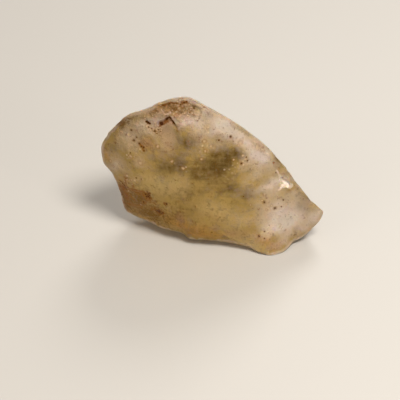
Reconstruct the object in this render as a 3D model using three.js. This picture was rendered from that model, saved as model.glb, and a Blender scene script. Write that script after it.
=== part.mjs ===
import * as THREE from 'three';
import { ImprovedNoise } from 'three/addons/math/ImprovedNoise.js';

// A tektite: one lump of pale yellow natural glass, broken from a bigger splash of melt and worn
// by windblown sand. It stands on a small flat behind its long lower edge. A sharp rim runs all
// the way round it and parts a gently domed front from a thick back of broad fracture faces.
// Millimetres, +Z up, front towards -Y. The origin is under the middle of the bounding box.

// The rim, walked clockwise as seen from the front: right, back, up. It starts at the left end,
// climbs to the crown, runs down to the thin tip on the right, and comes back along the foot.
const RIM = [
  [-19.1, 6.4, 16.2], [-18.7, 6.1, 18.2], [-17.1, 4.6, 21.5], [-15.7, 4.0, 23.6],
  [-14.6, 3.7, 24.8], [-12.5, 3.3, 25.8], [-10.6, 3.2, 26.7], [-8.9, 3.0, 27.9],
  [-7.3, 2.7, 28.7], [-5.2, 2.4, 29.3], [-3.8, 2.3, 29.1], [-0.4, 2.1, 26.9],
  [2.8, 2.1, 24.8], [6.2, 2.3, 22.0], [9.6, 2.5, 18.6], [13.0, 2.7, 13.7],
  [16.7, 2.8, 8.0], [18.3, 2.6, 6.5], [19.2, 2.5, 5.5], [18.4, 2.2, 4.0],
  [16.9, 1.8, 2.4], [15.2, 1.1, 1.1], [13.8, 0.4, 0.9], [13.1, -0.6, 0.5],
  [12.2, -1.6, 0.2], [9.8, -2.6, 0.1], [8.7, -2.4, 0.3], [7.7, -2.0, 0.6],
  [6.3, -1.4, 1.1], [4.6, -1.0, 1.4], [1.5, -0.3, 1.6], [-1.2, 0.1, 1.6],
  [-4.1, 0.5, 1.4], [-5.2, 1.4, 1.9], [-7.1, 2.3, 2.0], [-9.1, 3.3, 1.9],
  [-11.4, 5.1, 2.1], [-13.3, 6.1, 2.2], [-14.9, 6.6, 2.8], [-15.6, 6.7, 4.4],
  [-15.9, 6.8, 6.4], [-17.5, 6.6, 10.9], [-18.8, 6.6, 13.0],
];
const HEART = new THREE.Vector3(-1.0, 3.6, 13.5);   // the middle of the lump, inside the rim
const RIM_BLUR = 0.045;      // share of the rim's length over which its chips are averaged out
const CHIP_FADE = 7;         // how fast a chip's outline fades inward, as a power of the way out
const LEAN_FADE = 3;         // the same for how far a chip leans forward or back

// Each side swells from the rim. Facets break it flat, and hollows are scooped out of it. A facet
// is a point of its plane and the way it faces. A hollow is a place across and up, a half width
// and half height, a depth, and how crisp its lip is: 1.5 is soft and 0.7 is sharp. Sag turns
// the swelling down towards the foot, so that the back has a belly to stand on.
const FRONT = {
  toward: new THREE.Vector3(0, -1, 0.1),
  sag: 0,
  swell: 4.8,
  fullness: 0.9,
  facets: [
    { name: 'brow', at: [2, -1.0, 21.0], facing: [0.12, -0.9, 0.42] },
    { name: 'temple', at: [-11, 0.9, 20], facing: [-0.3, -0.92, 0.25] },
    { name: 'cheek', at: [-12, 2.3, 11], facing: [-0.42, -0.9, 0.02] },
    { name: 'jaw', at: [-12.5, 1.9, 6.5], facing: [-0.45, -0.8, -0.4] },
    { name: 'apron', at: [0, -2.5, 7], facing: [-0.22, -0.97, -0.04] },
    { name: 'shoulder', at: [11, -1.0, 10], facing: [0.32, -0.92, 0.2] },
  ],
  hollows: [
    { name: 'thumb hollow', across: -8.0, up: 22.6, wide: 1.8, high: 2.6, depth: 0.75, lip: 0.8 },
    { name: 'crown groove', across: -5.5, up: 27.0, wide: 4.2, high: 1.0, depth: 0.4, lip: 1.0 },
    { name: 'nick', across: -11.1, up: 23.6, wide: 0.8, high: 0.8, depth: 0.35, lip: 0.8 },
    { name: 'brow dip', across: 2.6, up: 22.0, wide: 4.6, high: 2.6, depth: 0.4, lip: 1.5 },
    { name: 'flash dip', across: 12.0, up: 12.4, wide: 1.8, high: 2.2, depth: 0.55, lip: 0.9 },
    { name: 'long dip', across: 8.4, up: 11.4, wide: 3.4, high: 1.6, depth: 0.35, lip: 1.2 },
    { name: 'tip dip', across: 15.4, up: 6.6, wide: 2.2, high: 1.8, depth: 0.3, lip: 1.5 },
    { name: 'chin dip', across: -3.5, up: 7.0, wide: 4.5, high: 3.0, depth: 0.45, lip: 1.5 },
    { name: 'left dip', across: -15.5, up: 14.5, wide: 2.4, high: 3.2, depth: 0.4, lip: 1.5 },
  ],
};
const BACK = {
  toward: new THREE.Vector3(0, 1, -0.35),
  sag: 1.05,
  swell: 16,
  fullness: 0.75,
  facets: [
    { name: 'nape', at: [-4, 8.2, 23.8], facing: [-0.12, 0.74, 0.64] },
    { name: 'back wall', at: [0, 12.6, 11], facing: [0.06, 0.99, -0.12] },
    { name: 'right flank', at: [11, 9.0, 10], facing: [0.62, 0.76, 0.2] },
    { name: 'left flank', at: [-16, 10.2, 13], facing: [-0.7, 0.7, 0.02] },
    { name: 'heel', at: [-3, 10.6, 1.2], facing: [-0.12, 0.6, -0.8] },
    { name: 'keel', at: [6, 5, -0.3], facing: [0.13, 0.1, -0.98] },
  ],
  hollows: [
    { name: 'nape scoop', across: -7, up: 21.5, wide: 6, high: 4.0, depth: 0.8, lip: 1.1 },
    { name: 'flank scoop', across: 9, up: 12.5, wide: 4.6, high: 5.2, depth: 0.8, lip: 1.1 },
    { name: 'wall scoop', across: -4, up: 9.5, wide: 5.5, high: 4.2, depth: 0.7, lip: 1.2 },
    { name: 'left scoop', across: -13.4, up: 12, wide: 3.2, high: 4.6, depth: 0.6, lip: 1.1 },
    { name: 'saddle scoop', across: 2.5, up: 18.5, wide: 3.0, high: 3.2, depth: 0.5, lip: 1.2 },
  ],
};
const RIDGE_WEAR = 1.5;      // how far a ridge between two facets is worn round
const SOLE_WEAR = 0.5;       // the same for the brink of the flat that the stone stands on
const UNEVEN = [             // the uneven skin left by flow and wind
  { wavelength: 7.0, height: 0.45 },
  { wavelength: 3.2, height: 0.2 },
];
const UNEVEN_PLACE = 40;     // which part of the noise is used
const CALM_RIM = 0.25;       // share of the room near the rim over which dips and noise fade out
const LEAST_SWELL = 0.05;    // the least that a side stands proud of the middle, off the rim
const RINGS = 28;            // rings of triangles from the middle of a side to the rim

const noise = new ImprovedNoise();
const rimPoints = RIM.map((point) => new THREE.Vector3(...point));
const rim = new THREE.CatmullRomCurve3(rimPoints, true, 'centripetal');
rim.arcLengthDivisions = 2000;

// The rim with its chips averaged away, for the sides to grow from.
function softRim(turn) {
  const sum = new THREE.Vector3();
  const steps = 8;
  for (let i = -steps; i <= steps; i++) {
    sum.add(rim.getPointAt((turn + (RIM_BLUR * i) / steps + 1) % 1));
  }
  return sum.divideScalar(2 * steps + 1);
}

// A point between the two sides: turn goes round the rim, and out goes from the heart, 0, to 1.
function middle(turn, out) {
  const soft = softRim(turn);
  const point = HEART.clone().lerp(soft, out);
  point.y = HEART.y + (soft.y - HEART.y) * out ** 2;
  const chip = rim.getPointAt(turn).sub(soft);
  const fade = new THREE.Vector3(out ** CHIP_FADE, out ** LEAN_FADE, out ** CHIP_FADE);
  return point.add(chip.multiply(fade));
}

// The smaller of two heights, with the corner where they cross worn round.
function worn(a, b, wear) {
  const near = Math.max(0, 1 - Math.abs(a - b) / wear);
  return Math.min(a, b) - (wear * near * near) / 4;
}

// How far a point is from a facet, the swelling way. A facet that faces away sets no limit.
function heightToFacet(point, way, { at, facing }) {
  const normal = new THREE.Vector3(...facing).normalize();
  const slant = way.dot(normal);
  if (slant < 0.1) return Infinity;
  const gap = new THREE.Vector3(...at).sub(point).dot(normal);
  return Math.max(0, gap / slant);
}

function depthOfHollow(point, { across, up, wide, high, depth, lip }) {
  const far = Math.hypot((point.x - across) / wide, (point.z - up) / high);
  return depth * Math.max(0, 1 - far * far) ** lip;
}

function unevenness(point) {
  return UNEVEN.reduce((sum, { wavelength, height }) => {
    const place = point.clone().divideScalar(wavelength).addScalar(UNEVEN_PLACE);
    return sum + height * noise.noise(place.x, place.y, place.z);
  }, 0);
}

// The way a side swells from a point of the middle.
function swellingWay(side, base) {
  const way = side.toward.clone();
  way.z -= side.sag * Math.max(0, 1 - base.z / HEART.z);
  return way.normalize();
}

// A point of one side's surface. Nothing reaches below the flat that the stone stands on.
function surface(side, turn, out) {
  const base = middle(turn, out);
  const way = swellingWay(side, base);
  const room = 1 - out * out;
  let height = side.swell * room ** side.fullness;
  for (const facet of side.facets) {
    height = worn(height, heightToFacet(base, way, facet), RIDGE_WEAR);
  }
  const bare = base.clone().addScaledVector(way, Math.max(height, 0));
  const inset = Math.min(1, room / CALM_RIM);
  height += inset * unevenness(bare);
  for (const hollow of side.hollows) {
    height -= inset * depthOfHollow(bare, hollow);
  }
  const toFloor = way.z < 0 ? base.z / -way.z : Infinity;
  const least = LEAST_SWELL * Math.min(1, room / LEAST_SWELL);
  height = Math.max(worn(height, toFloor, SOLE_WEAR), least);
  return base.addScaledVector(way, Math.min(height, toFloor));
}

// A side is a disc of rings: one corner in the middle, and 6 more corners in each next ring.
function ringOfPoints(side, ring) {
  const count = Math.max(1, 6 * ring);
  const out = Math.sin((Math.PI / 2) * (ring / RINGS));
  return Array.from({ length: count }, (_, i) => surface(side, i / count, out));
}

// Both sides as one closed skin. They share the ring of points on the rim.
function lump() {
  const points = [];
  const triangles = [];
  const keep = (ring) => ring.map((point) => points.push(point) - 1);
  const edge = keep(ringOfPoints(FRONT, RINGS));
  for (const side of [FRONT, BACK]) {
    const add = (a, b, c) => triangles.push(...(side === FRONT ? [a, b, c] : [a, c, b]));
    let inner = keep(ringOfPoints(side, 0));
    for (let ring = 1; ring <= RINGS; ring++) {
      const outer = ring < RINGS ? keep(ringOfPoints(side, ring)) : edge;
      for (let i = 0; i < 6 * ring; i++) {
        const sector = Math.floor(i / ring);
        const here = inner[(i - sector) % inner.length];
        const next = outer[(i + 1) % outer.length];
        add(here, next, outer[i]);
        const beside = inner[(i - sector + 1) % inner.length];
        if (i % ring < ring - 1) add(here, beside, next);
      }
      inner = outer;
    }
  }
  const geometry = new THREE.BufferGeometry().setFromPoints(points);
  geometry.setIndex(triangles);
  geometry.computeVertexNormals();
  return geometry;
}

const glass = new THREE.MeshStandardMaterial({ color: 0xb9a073, roughness: 0.4, metalness: 0 });
const stone = new THREE.Mesh(lump(), glass);
stone.name = 'tektite';
stone.geometry.computeBoundingBox();
const { min, max } = stone.geometry.boundingBox;
stone.position.set(-(min.x + max.x) / 2, -(min.y + max.y) / 2, -min.z);

const tektite = new THREE.Group();
tektite.add(stone);
export default tektite;
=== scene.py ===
# %% [markdown]
# # A tektite, one lump of cloudy yellow desert glass
#
# The real stone is natural glass: melt that was thrown out by an impact, cooled in the air, broke,
# and then lay in blown sand until its skin was matt. It has no parts. What makes it look like
# itself is a domed front with shallow hollows, a bright rim, partly worn and partly a painted edge
# highlight, thick fracture faces behind, and glass that is yellow and clear deep inside and milky
# near the skin.
#
# The exact solid of the stone is ready in the imported frame. This lesson keeps its outline and its
# size, gives it a finer skin, carves that skin by code, paints it, and lights it. We load the frame
# first, and keep its box, so that the carved skin can be kept inside it.

# %% Load the frame
import math
import random

import bmesh
import bpy
import numpy as np
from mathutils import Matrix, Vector, kdtree, noise
from mathutils.bvhtree import BVHTree


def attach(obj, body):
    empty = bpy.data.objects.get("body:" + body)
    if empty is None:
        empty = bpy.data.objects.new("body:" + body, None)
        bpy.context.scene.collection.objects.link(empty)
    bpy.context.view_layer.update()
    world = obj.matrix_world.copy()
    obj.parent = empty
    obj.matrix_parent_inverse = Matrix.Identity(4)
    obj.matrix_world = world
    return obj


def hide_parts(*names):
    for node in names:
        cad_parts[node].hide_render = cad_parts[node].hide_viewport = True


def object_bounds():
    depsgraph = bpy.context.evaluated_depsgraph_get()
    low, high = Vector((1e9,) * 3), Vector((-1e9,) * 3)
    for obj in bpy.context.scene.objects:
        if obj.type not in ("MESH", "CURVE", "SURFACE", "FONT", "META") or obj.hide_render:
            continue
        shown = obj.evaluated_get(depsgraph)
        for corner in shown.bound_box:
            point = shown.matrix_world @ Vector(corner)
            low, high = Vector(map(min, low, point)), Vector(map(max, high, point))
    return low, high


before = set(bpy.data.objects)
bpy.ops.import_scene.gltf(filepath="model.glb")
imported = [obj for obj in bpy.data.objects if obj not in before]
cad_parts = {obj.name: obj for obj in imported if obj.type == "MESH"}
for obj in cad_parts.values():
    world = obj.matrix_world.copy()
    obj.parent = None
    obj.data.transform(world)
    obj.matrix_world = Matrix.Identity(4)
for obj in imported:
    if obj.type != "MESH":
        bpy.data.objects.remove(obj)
CAD_BOX = [list(corner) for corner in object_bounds()]
MM = 0.001  # Blender counts in metres, and a stone this small is easier to think of in millimetres
BOX_LOW, BOX_HIGH = (np.array(corner) / MM for corner in CAD_BOX)
print("CAD box, mm:", BOX_LOW.round(2), BOX_HIGH.round(2))

# %% [markdown]
# ## A finer skin
#
# The solid has about nine thousand triangles, up to a millimetre long. That is enough to weigh
# and rest the stone, but a pit or a chipped edge needs points four times closer. A voxel remesh
# would make even squares, and round off the crisp corners of the outline. Blender's Subdivision
# Surface would turn the triangles into lumpy squares. Loop subdivision is made for triangles: it
# cuts each into four and moves every point to a weighted mean of its neighbours. It is short
# enough to write in numpy, and it smooths any other numbers kept beside x, y and z as well.

# %% Read the solid's triangles
JOINED = 0.001  # mm: corners this near to each other are one point


def triangles_of_node(name):
    """The node's points in millimetres, with the copies at each corner joined, and its triangles."""
    skin = bmesh.new()
    skin.from_mesh(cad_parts[name].data)
    bmesh.ops.remove_doubles(skin, verts=skin.verts, dist=JOINED * MM)
    points = np.array([corner.co[:] for corner in skin.verts]) / MM
    triangles = np.array([[corner.index for corner in face.verts] for face in skin.faces])
    skin.free()
    return points, triangles


points, triangles = triangles_of_node("tektite")
print("Solid:", len(points), "points,", len(triangles), "triangles")

# %% One round of Loop subdivision


def sides_of(triangles):
    """The three sides of every triangle, as pairs of points."""
    return np.concatenate([triangles[:, [0, 1]], triangles[:, [1, 2]], triangles[:, [2, 0]]])


def loop_round(points, triangles):
    """Cuts each triangle into four. points has a row for each point, and any number of columns."""
    tips = np.concatenate([triangles[:, 2], triangles[:, 0], triangles[:, 1]])
    edges, which = np.unique(np.sort(sides_of(triangles), axis=1), axis=0, return_inverse=True)
    which = which.ravel()
    over = np.zeros((len(edges), points.shape[1]))
    np.add.at(over, which, points[tips])
    middles = points[edges].sum(axis=1) * 3 / 8 + over / 8  # the eighths are Loop's own weights
    count = np.bincount(edges.ravel(), minlength=len(points))[:, None]
    around = np.zeros_like(points)
    np.add.at(around, edges[:, 0], points[edges[:, 1]])
    np.add.at(around, edges[:, 1], points[edges[:, 0]])
    pull = np.where(count > 3, 3 / 8 / count, 3 / 16)
    moved = (1 - count * pull) * points + pull * around
    a, b, c = triangles.T
    ab, bc, ca = len(points) + which.reshape(3, -1)
    corners = ((a, ab, ca), (ab, b, bc), (ca, bc, c), (ab, bc, ca))
    return np.concatenate([moved, middles]), np.concatenate([np.stack(t, axis=1) for t in corners])


points, triangles = loop_round(points, triangles)
print("After one round:", len(points), "points,", len(triangles), "triangles")

# %% [markdown]
# ## Where the stone is sharp
#
# Wear, frost and dirt all follow the edges and the hollows, so it pays to know where those are. On
# a sharp edge the middle of a point's neighbourhood lies well inside the glass, and in a hollow it
# lies outside. That gap is a measure of sharpness that doesn't depend on how the triangles lie.
# Blender's Pointiness does something like it, but it follows the size of the triangles. We measure
# it after the first round, on a quarter of the points, wear the edges round by it, and let the
# second round carry it along as a fourth column.

# %% Measure the sharpness and wear the edges round
REACH = 0.75       # mm: how far round a point counts as its neighbourhood
RIM_WEAR = 0.12    # share of the gap that blown sand has taken off
SHARP = 0.26       # mm: the gap on the sharpest edge


def point_normals(points, triangles):
    """The mean way that the faces round each point look, with big faces counting for more."""
    a, b, c = (points[triangles[:, i], :3] for i in range(3))
    faces = np.cross(b - a, c - a)
    normals = np.zeros((len(points), 3))
    for i in range(3):
        np.add.at(normals, triangles[:, i], faces)
    return normals / np.linalg.norm(normals, axis=1, keepdims=True)


def search_tree(points):
    """A tree that quickly finds which of the points are near a place."""
    tree = kdtree.KDTree(len(points))
    for i, point in enumerate(points):
        tree.insert(point, i)
    tree.balance()
    return tree


def sharpness(points, normals, reach):
    """How far each point stands proud of its neighbourhood, in mm. Below zero is a hollow."""
    tree = search_tree(points)
    middles = np.array([
        np.mean([near for near, _, _ in tree.find_range(point, reach)], axis=0) for point in points
    ])
    return ((points - middles) * normals).sum(axis=1)


normals = point_normals(points, triangles)
sharp = sharpness(points, normals, REACH)
points = points - normals * (RIM_WEAR * np.clip(sharp, 0, None))[:, None]
points, triangles = loop_round(np.column_stack([points, sharp / SHARP]), triangles)
points, sharp = points[:, :3], points[:, 3]
print("Skin:", len(points), "points,", len(triangles), "triangles")
print("Sharpness from", sharp.min().round(2), "to", sharp.max().round(2))

# %% [markdown]
# ## Tools for carving
#
# Every layer below is a height for each point, and the skin is moved along its normals by it. A
# Displace modifier could do the plain noise, but only arrays let each layer be faded by where it
# lies, such as off the flat that the stone rests on, or off the back. Lines that follow the
# stone's own marks are bent by noise first, so that none looks drawn with a ruler.

# %% Noise, fades and places


def ease(values, low, high):
    """0 below low, 1 above high, and a smooth S between them."""
    t = np.clip((values - low) / (high - low), 0, 1)
    return t * t * (3 - 2 * t)


def drift(points, wavelength, place, octaves=1.0):
    """Noise of about -1 to 1 with lumps of this wavelength in mm. place picks another pattern."""
    spot = Vector((place, place * 1.7, place * 0.3))
    return np.array([noise.fractal(Vector(p) / wavelength + spot, 1.0, 2.0, octaves) for p in points])


def oval(points, across, up, wide, high, tilt=0):
    """How far each point is from an oval's middle, seen from the front. It is 1 on the outline."""
    turn = math.radians(tilt)
    x, z = points[:, 0] - across, points[:, 2] - up
    along = (x * math.cos(turn) + z * math.sin(turn)) / wide
    over = (z * math.cos(turn) - x * math.sin(turn)) / high
    return np.hypot(along, over)


def softened(values, rounds):
    """Values on the points, each averaged with its neighbours a few times."""
    sides = sides_of(triangles)
    count = np.bincount(sides[:, 0], minlength=len(points))[:, None] + 1
    for _ in range(rounds):
        total = values.copy()
        for column in range(values.shape[1]):
            total[:, column] += np.bincount(sides[:, 0], values[sides[:, 1], column], len(points))
        values = total / count
    return values


print("Tools: ease, drift, oval, softened")

# %% Which way the skin looks
FLOOR_FADE = (0.05, 0.6)  # mm above the flat that the stone rests on: no carving, and all of it
FACING = np.array([0, -0.87, 0.5])  # the way that the domed side looks, as the stone rests
FRONT_FADE = (0.1, 0.5)  # how squarely a point looks that way: not part of the front, and all of it
REAR_FADE = (-0.3, 0.1)  # all of it the rear, and no part of it
normals = point_normals(points, triangles)
off_floor = ease(points[:, 2], *FLOOR_FADE)
front = ease(normals @ FACING, *FRONT_FADE)
rear = 1 - ease(normals @ FACING, *REAR_FADE)
print("Share of the skin that faces front:", round(float(front.mean()), 2))

# %% Bent lines
WOBBLES = [  # how far a line strays in mm, over what wavelength, and the patterns for x and z
    (0.22, 1.3, (3.0, 5.0)),
    (0.12, 0.5, (13.0, 15.0)),
]


def far_from_line(points, line):
    """Distance in mm to a bent line, seen from the front, and the side: below zero is under it."""
    here = points[:, [0, 2]] + line_shift
    far = np.full(len(points), np.inf)
    side = np.zeros(len(points))
    for start, end in zip(line, line[1:]):
        way = np.subtract(end, start)
        share = np.clip((here - start) @ way / (way @ way), 0, 1)
        gap = here - (np.array(start) + share[:, None] * way)
        length = np.hypot(gap[:, 0], gap[:, 1])
        above = np.sign(way[0] * gap[:, 1] - way[1] * gap[:, 0])
        closer = length < far
        far = np.where(closer, length, far)
        side = np.where(closer, above, side)
    return far, side


line_shift = sum(
    stray * np.stack([drift(points, wavelength, place) for place in places], axis=1)
    for stray, wavelength, places in WOBBLES
)
print("Lines stray by up to", np.abs(line_shift).max().round(2), "mm")

# %% [markdown]
# ## Swells and scallops
#
# A wind-worn glass skin is never flat. Broad swells left by the melt carry shallow scallops a few
# millimetres across, and those carry a fine orange-peel. The scallops come from cell noise, which
# knows the distances to the nearest seed points. Where the first two are equal, there is a ridge,
# and inwards from it the skin sinks into a round dish, as on the real stone. The points are shifted
# a little first, so that no ridge is straight.

# %% Swells, scallops and orange-peel
SWELLS = [  # wavelength and height in mm, and which pattern
    (5.0, 0.12, 11.0),
    (2.2, 0.07, 23.0),
    (0.8, 0.035, 37.0),
]
SCALLOP_SIZE = 1.9
SCALLOP_DEPTH = 0.12
DISH_EDGE = 0.8        # the gap between the two distances at which a dish is at its deepest
STRAY = (0.5, 1.7)     # mm: how far the ridges stray, and over what wavelength
ON_EDGE = (0.15, 0.6)  # sharpness: no edge yet, and all edge
EDGE_CALM = 0.6        # share of the swells that an edge has lost


def scallops(points, size, place):
    """0 on the ridges between round dishes, and -1 at their middles."""
    spot = Vector((place, -place, place * 0.5))
    near = [noise.voronoi(Vector(p) / size + spot)[0] for p in points]
    ridge = np.array([far[1] - far[0] for far in near])
    return -ease(ridge, 0.0, DISH_EDGE)


stray, wavelength = STRAY
shift = stray * np.stack([drift(points, wavelength, place) for place in (3.0, 5.0, 8.0)], axis=1)
lift = sum(height * drift(points, wavelength, place) for wavelength, height, place in SWELLS)
lift += SCALLOP_DEPTH * scallops(points + shift, SCALLOP_SIZE, 4.0)
calm = off_floor * (1 - EDGE_CALM * ease(sharp, *ON_EDGE))
points += normals * (lift * calm)[:, None]
print("Swells from", lift.min().round(3), "to", lift.max().round(3), "mm")

# %% [markdown]
# ## The stone's own hollows
#
# Some hollows, gouges and ledges are this stone's own: a smooth thumb-print under an overhanging
# lip below the crown, a black slot beside it, a rough patch above, and a long ledge low on the
# left. They could be sculpted by hand, but then nobody could change them by a number. Here each
# is an oval or a bent line, seen from the front, with a half width and a depth, and a short loop
# for each kind pushes them into the skin.

# %% Ovals
HOLLOWS = {  # across, up, half width, half height, tilt in degrees, depth, lip
    "thumb hollow": (-7.9, 22.3, 2.3, 2.8, 6, 0.24, 1.5),
    "chip's shoulder": (9.2, 12.4, 2.6, 1.3, -8, 0.20, 1.1),
    "dent by the slot": (-10.2, 22.6, 1.1, 0.8, -35, 0.22, 0.8),
    "cloud dip": (1.6, 17.6, 3.4, 2.2, 10, 0.16, 1.4),
    "brow scallop": (4.6, 20.6, 1.8, 1.0, -35, 0.14, 0.9),
    "shoulder scallop": (8.6, 15.6, 1.6, 1.1, -30, 0.16, 0.9),
    "cheek dent": (-12.8, 18.8, 1.9, 1.3, 20, 0.12, 0.9),
    "low dent": (6.0, 8.2, 2.2, 1.4, 10, 0.12, 1.0),
}
lift = np.zeros(len(points))
for *place, depth, lip in HOLLOWS.values():
    far = oval(points, *place)
    lift -= depth * np.clip(1 - far * far, 0, 1) ** lip
points += normals * (lift * front)[:, None]
print("Hollows:", ", ".join(HOLLOWS))
print("The deepest is", -lift.min().round(2), "mm")

# %% Rub the thumb hollow smooth
RUBBED = (-7.8, 22.0, 2.3, 2.9, 6)  # an oval: across, up, half width, half height, tilt
RUB_FADE = (0.6, 1.1)  # where the rubbing ends, as shares of the way to the outline
RUBS = 40
rubbed = (front * (1 - ease(oval(points, *RUBBED), *RUB_FADE)))[:, None]
points += rubbed * (softened(points, RUBS) - points)
print("Points rubbed smooth:", int((rubbed > 0.5).sum()))

# %% Gouges, ridges and ledges
LIP_LINE = [(-9.1, 23.7), (-7.5, 25.2), (-6.4, 23.8)]
LIP_RIDGE = [(-9.7, 25.0), (-7.8, 26.1), (-6.3, 25.8), (-5.2, 24.6)]
SLOT_LINE = [(-11.3, 23.65), (-10.9, 23.35)]
CROWN_LINE = [(-9.3, 27.0), (-7.6, 27.5), (-6.0, 28.0)]
CROWN_TAIL = [(-4.7, 28.1), (-3.6, 27.5), (-2.3, 27.0)]
LOW_LINE = [(-15.6, 9.3), (-14.0, 9.1), (-12.2, 9.4), (-10.4, 9.8)]
GOUGES = [  # bent line of (across, up), half width, depth (below zero is a ridge), lip
    (LIP_LINE, 0.36, 0.34, 0.7),
    (LIP_RIDGE, 0.6, -0.14, 1.2),
    (SLOT_LINE, 0.24, 0.42, 0.6),
    (CROWN_LINE, 0.34, 0.13, 0.8),
    (CROWN_TAIL, 0.45, 0.12, 0.9),
]
LEDGES = [  # the brink as a bent line from left to right, how far the drop below it fades, depth
    (LOW_LINE, 2.8, 0.15),
    (CROWN_LINE, 1.6, 0.10),
]
LEDGE_DROP = (-0.05, 0.25)  # mm below the line: the top and the foot of the drop
LEDGE_FLAT = 0.4            # mm: how far the drop keeps its depth before it fades
LEDGE_ENDS = (-0.4, 0.8)    # mm inwards from each end of the line: no drop, and all of it
WANDER = (0.10, 0.8)        # mm: how far the lines wander, and over what wavelength
wander = WANDER[0] * drift(points, WANDER[1], 51.0)
lift = np.zeros(len(points))
for line, wide, depth, lip in GOUGES:
    far, _ = far_from_line(points, line)
    lift -= depth * np.clip(1 - ((far + wander) / wide) ** 2, 0, 1) ** lip
for line, fade, depth in LEDGES:
    far, side = far_from_line(points, line)
    from_left, from_right = points[:, 0] - line[0][0], line[-1][0] - points[:, 0]
    ends = ease(from_left, *LEDGE_ENDS) * ease(from_right, *LEDGE_ENDS)
    drop = ease(-(side * far + wander), *LEDGE_DROP) * (1 - ease(far, LEDGE_FLAT, fade))
    lift -= depth * ends * drop
points += normals * (lift * front)[:, None]
print(len(GOUGES), "gouges and", len(LEDGES), "ledges")

# %% [markdown]
# ## Pits and chips
#
# Sand grains leave small pits all over, thickest in the rough patch above the thumb hollow, and
# the rim has lost flakes where it struck something. Both are scattered by a seeded random choice,
# so that every run gives the same stone. A pit goes in along the normal, and less deep on the
# domed side, which the sand has polished. A chip is pushed towards the middle of the stone
# instead: along the normals of a thin rim, the two sides would cross.

# %% Scatter pits and chips
PITS = (420, (0.22, 0.5), 0.12, 1.0)  # how many, radii in mm, depth as a share of the radius, lip
ROUGH_PITS = (220, (0.22, 0.4), 0.3, 1.0)
CHIPS = (90, (0.4, 1.1), 0.2, 0.8)
ROUGH_PATCH = (-6.6, 26.1, 4.6, 1.5, 6)  # an oval: across, up, half width, half height, tilt
POLISH = 0.55        # share of a pit's depth that the sand has polished off the domed side
SHARP_RIM = 0.45     # sharpness from which an edge can lose a chip
CHIPS_ABOVE = 0.5    # mm above the floor
HEART = np.array([-1.0, -2.0, 13.0])  # the middle of the stone, mm
dice = random.Random(7)
tree = search_tree(points)


def dents(places, count, sizes, depth, lip):
    """The lift of round dents about a random choice of these points."""
    lift = np.zeros(len(points))
    for i in dice.sample(places, count):
        size = dice.uniform(*sizes)
        for _, j, far in tree.find_range(points[i], size):
            lift[j] = min(lift[j], -depth * size * (1 - (far / size) ** 2) ** lip)
    return lift


anywhere = list(range(len(points)))
in_rough = np.flatnonzero((oval(points, *ROUGH_PATCH) < 1) & (front > 0.5)).tolist()
on_rim = np.flatnonzero((sharp > SHARP_RIM) & (points[:, 2] > CHIPS_ABOVE)).tolist()
pits = dents(anywhere, *PITS) * (1 - POLISH * front)
pits = np.minimum(pits, dents(in_rough, *ROUGH_PITS))
chips = dents(on_rim, *CHIPS)
inward = HEART - points
inward /= np.linalg.norm(inward, axis=1, keepdims=True)
points += normals * (pits * off_floor)[:, None] - inward * (chips * off_floor)[:, None]
print(PITS[0] + ROUGH_PITS[0], "pits and", CHIPS[0], "chips")

# %% [markdown]
# ## The fresh facet
#
# Towards the tip a flake came off lately. Its scar is the only glossy place on the stone, and it
# flashes when a lamp stands right. A painted white spot would shine from every side, so we cut a
# real plane. Each point in two jagged ovals is moved back along the way that the plane looks,
# until it lies on the plane, and a soft border joins it to the skin. The glint is painted on it as
# well, further down: a painted highlight in warm white, over the flash that the lamp gives.

# %% The fresh facet
FACET_PLACES = [  # two ovals that meet: across, up, half width, half height, tilt
    (12.3, 12.0, 1.2, 0.42, -42),
    (11.6, 11.7, 0.75, 0.34, 48),
]
FACET_LOOKS = np.array([0.36, -0.78, 0.51])
FACET_DEPTH = 0.12          # mm below the skin at the middle of the ovals
FACET_LIMIT = 0.6           # mm: the deepest that the cut may go
FACET_BORDER = (0.75, 1.3)  # all cut, and no cut, where 1 is an oval's outline
JAGS = (0.35, 0.9)          # mm: how far the outline strays, and over what wavelength
FAR_OFF = 9.0               # further from a mark than any mark reaches
jagged = np.stack([drift(points, JAGS[1], place, 2.0) for place in (53.0, 0.0, 57.0)], axis=1)
jagged = points + JAGS[0] * jagged
far = np.min([oval(jagged, *place) for place in FACET_PLACES], axis=0) + FAR_OFF * (front < 0.5)
touch = points[np.argmin(far)] - FACET_DEPTH * FACET_LOOKS
proud = (points - touch) @ FACET_LOOKS
cut = np.clip(proud, 0, FACET_LIMIT) * (1 - ease(far, *FACET_BORDER))
points += FACET_LOOKS * -cut[:, None]
print("Facet cut, deepest:", cut.max().round(2), "mm")

# %% [markdown]
# ## The back's fracture faces
#
# Glass breaks like a shell: the faces behind carry curved ripples that spread from where the blow
# fell. Each set is a ring wave about one point at the edge, strongest near it.

# %% Ripples on the back
BLOWS = [  # where the blow fell, spacing of the ripples, height, how far they reach, in mm
    ((-12.0, 4.0, 26.0), 1.9, 0.10, 14.0),
    ((14.0, 4.5, 12.0), 1.6, 0.09, 12.0),
]
FULL_TO = 2.0             # mm from the blow: up to here the ripples have their full height
RING_STRAY = (0.5, 4.0)   # mm: how far the rings stray, and over what wavelength
RIPPLE_EDGE = (0.1, 0.4)  # sharpness: full ripples, and none
lift = np.zeros(len(points))
for place, spacing, height, reach in BLOWS:
    far = np.linalg.norm(points - place, axis=1) + RING_STRAY[0] * drift(points, RING_STRAY[1], 61.0)
    lift += height * np.sin(far / spacing * math.tau) * (1 - ease(far, FULL_TO, reach))
points += normals * (lift * rear * off_floor * (1 - ease(sharp, *RIPPLE_EDGE)))[:, None]
print(len(BLOWS), "sets of ripples")

# %% [markdown]
# ## Back inside the box
#
# A lump may have pushed a point out of the box of the exact solid. The stone is weighed, packed
# and rested by that solid, so the skin must stay within it. Clipping every point to the box
# moves only the few that stick out.

# %% Keep the carved skin inside the solid's box
points = np.clip(points, BOX_LOW, BOX_HIGH)
print("Carved box, mm:", points.min(0).round(2), points.max(0).round(2))

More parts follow.
